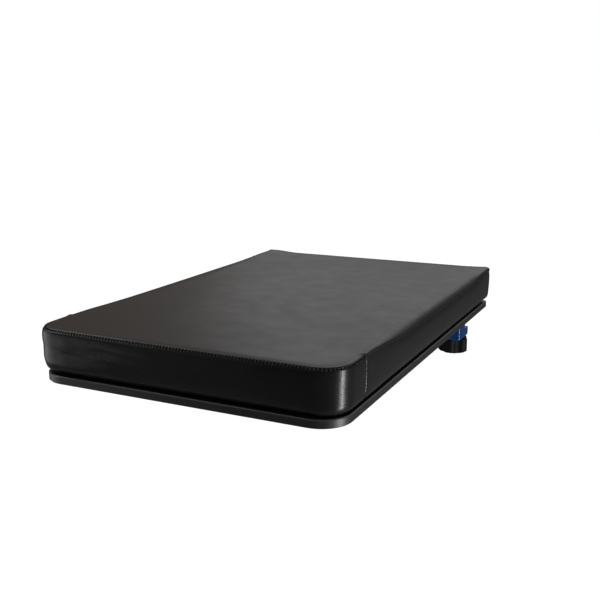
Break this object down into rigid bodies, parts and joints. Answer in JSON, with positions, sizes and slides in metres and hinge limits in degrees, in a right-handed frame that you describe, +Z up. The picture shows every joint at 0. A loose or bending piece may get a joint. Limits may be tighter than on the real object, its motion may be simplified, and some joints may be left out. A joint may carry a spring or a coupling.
{
  "type": "hand surgery table",
  "caption": "Padded surgical hand table: a sewn black pad held by hook-and-loop on a laminate board, with arms and knob-driven clamps that hang it from a side rail.",
  "frame": {"origin": "on the top edge of the side rail that the table hangs from, midway between the two clamps and in the middle of the rail's thickness", "axes": "+X along the rail to the right of a person who faces the rail, +Y from the free end towards the rail, +Z up"},
  "size_m": [0.4044, 0.6185, 0.1448],
  "materials": {
    "pad_cover": "black upholstery vinyl, fine grain, satin",
    "foam": "open-cell foam",
    "zip_cloth": "woven zip tape",
    "zip_plastic": "moulded zip coil",
    "zip_metal": "dark plated slider",
    "loop_fabric": "loop tape",
    "hook_fabric": "hook tape",
    "board_laminate": "black compact laminate, matt",
    "brass": "turned",
    "frame_steel": "brushed stainless tube",
    "plug_plastic": "moulded black plastic",
    "fastener_steel": "zinc plated",
    "clamp_blue": "blue anodised, satin",
    "foot_steel": "turned stainless",
    "spindle_steel": "turned stainless, rolled thread",
    "bush_bronze": "turned bronze",
    "knob_plastic": "black moulded plastic, satin",
    "cap_plastic": "grey-black moulded plastic"
  },
  "bodies": {
    "table": {"board": "board_laminate", "board_inserts": "brass", "hook_strips": "hook_fabric", "arm_left": "frame_steel", "arm_right": "frame_steel", "front_crossbar": "frame_steel", "rear_crossbar": "frame_steel", "arm_end_plugs": "plug_plastic", "board_screws": "fastener_steel", "board_washers": "fastener_steel", "clamp_block_left": "clamp_blue", "clamp_block_right": "clamp_blue", "block_bolts": "fastener_steel", "block_nuts": "fastener_steel", "spindle_bushes": "bush_bronze"},
    "pad": {"foam_core": "foam", "cover_top_panel": "pad_cover", "cover_front_band": "pad_cover", "cover_side_band": "pad_cover", "cover_bottom_panel": "pad_cover", "zip_tape": "zip_cloth", "zip_chain": "zip_plastic", "loop_strips": "loop_fabric"},
    "zip_slider": {"zip_slider": "zip_metal"},
    "foot_left": {"pressure_foot_left": "foot_steel", "foot_pins_left": "fastener_steel"},
    "knob_left": {"spindle_left": "spindle_steel", "star_knob_left": "knob_plastic", "knob_bush_left": "brass", "knob_nut_left": "fastener_steel", "knob_cap_left": "cap_plastic"},
    "foot_right": {"pressure_foot_right": "foot_steel", "foot_pins_right": "fastener_steel"},
    "knob_right": {"spindle_right": "spindle_steel", "star_knob_right": "knob_plastic", "knob_bush_right": "brass", "knob_nut_right": "fastener_steel", "knob_cap_right": "cap_plastic"}
  },
  "joints": [
    {"name": "pad_lift", "type": "slide", "parent": "table", "child": "pad", "axis": [0, 0, 1], "range_m": [0, 0.08]},
    {"name": "zip_slide", "type": "slide", "parent": "pad", "child": "zip_slider", "axis": [-1, 0, 0], "range_m": [0, 0.3]},
    {"name": "foot_slide_left", "type": "slide", "parent": "table", "child": "foot_left", "axis": [0, 0, -1], "range_m": [0, 0.0075]},
    {"name": "knob_turn_left", "type": "hinge", "parent": "foot_left", "child": "knob_left", "pos_m": [-0.145, 0, -0.03], "axis": [0, 0, 1], "range_deg": [0, 900]},
    {"name": "foot_slide_right", "type": "slide", "parent": "table", "child": "foot_right", "axis": [0, 0, -1], "range_m": [0, 0.0075]},
    {"name": "knob_turn_right", "type": "hinge", "parent": "foot_right", "child": "knob_right", "pos_m": [0.145, 0, -0.03], "axis": [0, 0, 1], "range_deg": [0, 900]}
  ],
  "couplings": [
    {"joint": "knob_turn_left", "follows": "foot_slide_left", "rad_per_m": 2094.4},
    {"joint": "knob_turn_right", "follows": "foot_slide_right", "rad_per_m": 2094.4}
  ]
}
